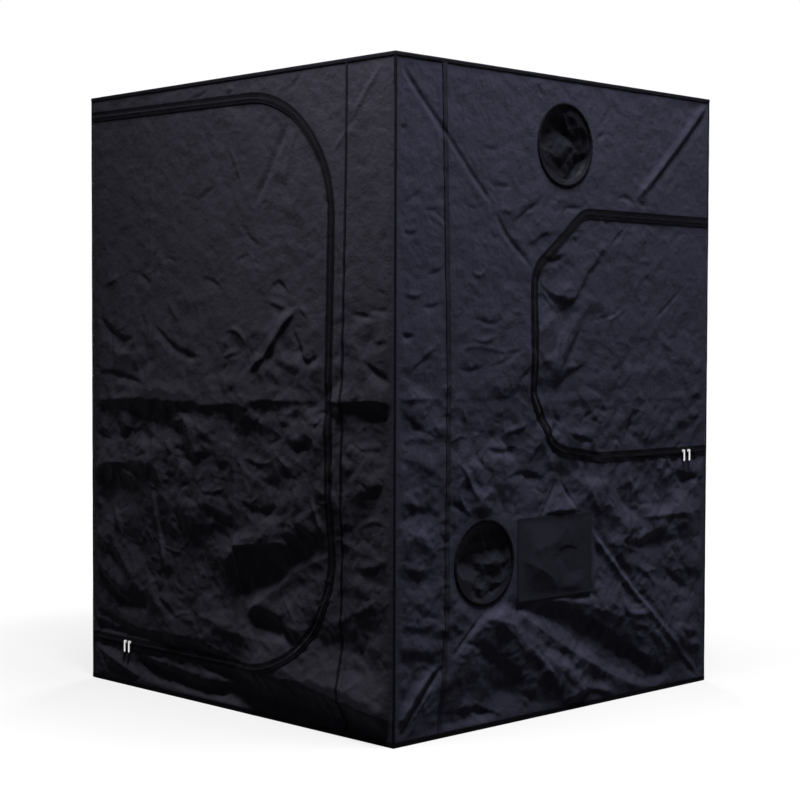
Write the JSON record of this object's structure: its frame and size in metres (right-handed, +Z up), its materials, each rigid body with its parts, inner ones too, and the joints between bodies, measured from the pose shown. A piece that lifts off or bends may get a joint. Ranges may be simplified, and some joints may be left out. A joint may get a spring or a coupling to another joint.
{
  "type": "indoor grow tent",
  "caption": "Free-standing square grow tent: steel tube frame, black cloth cover, zipped door and side window, duct ports, vent flap and floor tray.",
  "frame": {"origin": "centre of the tent's footprint, on the floor", "axes": "+Z up; the door wall faces -Y and the window wall faces +X"},
  "size_m": [1.518, 1.5165, 2.0055],
  "materials": {
    "cloth": "black coated Oxford cloth, satin, with a silver inside",
    "tape": "matt black woven tape",
    "sleeve_cloth": "thin black cloth with a slight sheen",
    "flap_cloth": "matt black cloth",
    "insect_mesh": "fine black net",
    "ground_cloth": "matt black coated cloth",
    "silver_film": "silver laminated film",
    "painted_steel": "white powder coat",
    "socket_plastic": "moulded black plastic",
    "zip_metal": "bright nickel plate"
  },
  "bodies": {
    "tent": {"back_panel": "cloth", "bottom_beam_back": "painted_steel", "bottom_beam_front": "painted_steel", "bottom_beam_left": "painted_steel", "bottom_beam_right": "painted_steel", "bottom_hem": "tape", "corner_binding_back_left": "tape", "corner_binding_back_right": "tape", "corner_binding_front_left": "tape", "corner_binding_front_right": "tape", "corner_socket_bottom_back_left": "socket_plastic", "corner_socket_bottom_back_right": "socket_plastic", "corner_socket_bottom_front_left": "socket_plastic", "corner_socket_bottom_front_right": "socket_plastic", "corner_socket_top_back_left": "socket_plastic", "corner_socket_top_back_right": "socket_plastic", "corner_socket_top_front_left": "socket_plastic", "corner_socket_top_front_right": "socket_plastic", "door_zip_frame_tape": "tape", "floor_tray": "silver_film", "front_corner_strip": "cloth", "front_panel": "cloth", "front_seam_tape": "tape", "ground_sheet": "ground_cloth", "left_panel": "cloth", "port_rim_lower": "tape", "port_rim_upper": "tape", "port_sleeve_lower": "sleeve_cloth", "port_sleeve_upper": "sleeve_cloth", "post_back_left": "painted_steel", "post_back_right": "painted_steel", "post_front_left": "painted_steel", "post_front_right": "painted_steel", "roof_panel": "cloth", "side_corner_strip": "cloth", "side_panel": "cloth", "side_seam_tape": "tape", "top_beam_back": "painted_steel", "top_beam_front": "painted_steel", "top_beam_left": "painted_steel", "top_beam_right": "painted_steel", "top_binding": "tape", "vent_mesh": "insect_mesh", "window_zip_frame_tape": "tape"},
    "door": {"door_panel": "cloth", "door_zip_leaf_tape": "tape"},
    "window": {"window_panel": "cloth", "window_zip_leaf_tape": "tape"},
    "vent_flap": {"vent_flap": "flap_cloth"},
    "roof_bar_front": {"roof_bar_front": "painted_steel"},
    "roof_bar_back": {"roof_bar_back": "painted_steel"},
    "door_slider_hinge_side": {"door_slider_hinge_side": "zip_metal"},
    "door_pull_hinge_side": {"door_pull_hinge_side": "zip_metal"},
    "door_slider_free_side": {"door_slider_free_side": "zip_metal"},
    "door_pull_free_side": {"door_pull_free_side": "zip_metal"},
    "window_slider_hinge_side": {"window_slider_hinge_side": "zip_metal"},
    "window_pull_hinge_side": {"window_pull_hinge_side": "zip_metal"},
    "window_slider_free_side": {"window_slider_free_side": "zip_metal"},
    "window_pull_free_side": {"window_pull_free_side": "zip_metal"}
  },
  "joints": [
    {"name": "door_swing", "type": "hinge", "parent": "tent", "child": "door", "pos_m": [-0.7424, -0.7503, 1], "axis": [0, 0, -1], "range_deg": [0, 170]},
    {"name": "window_swing", "type": "hinge", "parent": "tent", "child": "window", "pos_m": [0.7503, 0.7424, 1.19], "axis": [0, 0, 1], "range_deg": [0, 170]},
    {"name": "vent_flap_fold", "type": "hinge", "parent": "tent", "child": "vent_flap", "pos_m": [0.7503, -0.042, 0.369], "axis": [0, 1, 0], "range_deg": [0, 170]},
    {"name": "roof_bar_front_shift", "type": "slide", "parent": "tent", "child": "roof_bar_front", "axis": [0, 1, 0], "range_m": [-0.3, 0.2]},
    {"name": "roof_bar_back_shift", "type": "slide", "parent": "tent", "child": "roof_bar_back", "axis": [0, 1, 0], "range_m": [-0.2, 0.3]},
    {"name": "door_slider_hinge_side_run", "type": "slide", "parent": "door", "child": "door_slider_hinge_side", "axis": [1, 0, 0], "range_m": [-0.13, 0]},
    {"name": "door_pull_hinge_side_flip", "type": "hinge", "parent": "door_slider_hinge_side", "child": "door_pull_hinge_side", "pos_m": [-0.552, -0.7569, 0.149], "axis": [-1, 0, 0], "range_deg": [0, 165]},
    {"name": "door_slider_free_side_run", "type": "slide", "parent": "door", "child": "door_slider_free_side", "axis": [1, 0, 0], "range_m": [0, 0.55]},
    {"name": "door_pull_free_side_flip", "type": "hinge", "parent": "door_slider_free_side", "child": "door_pull_free_side", "pos_m": [-0.528, -0.7569, 0.149], "axis": [-1, 0, 0], "range_deg": [0, 165]},
    {"name": "window_slider_hinge_side_run", "type": "slide", "parent": "window", "child": "window_slider_hinge_side", "axis": [0, 1, 0], "range_m": [0, 0.03]},
    {"name": "window_pull_hinge_side_flip", "type": "hinge", "parent": "window_slider_hinge_side", "child": "window_pull_hinge_side", "pos_m": [0.7569, 0.643, 0.801], "axis": [0, -1, 0], "range_deg": [0, 165]},
    {"name": "window_slider_free_side_run", "type": "slide", "parent": "window", "child": "window_slider_free_side", "axis": [0, 1, 0], "range_m": [-0.38, 0]},
    {"name": "window_pull_free_side_flip", "type": "hinge", "parent": "window_slider_free_side", "child": "window_pull_free_side", "pos_m": [0.7569, 0.614, 0.801], "axis": [0, -1, 0], "range_deg": [0, 165]}
  ]
}
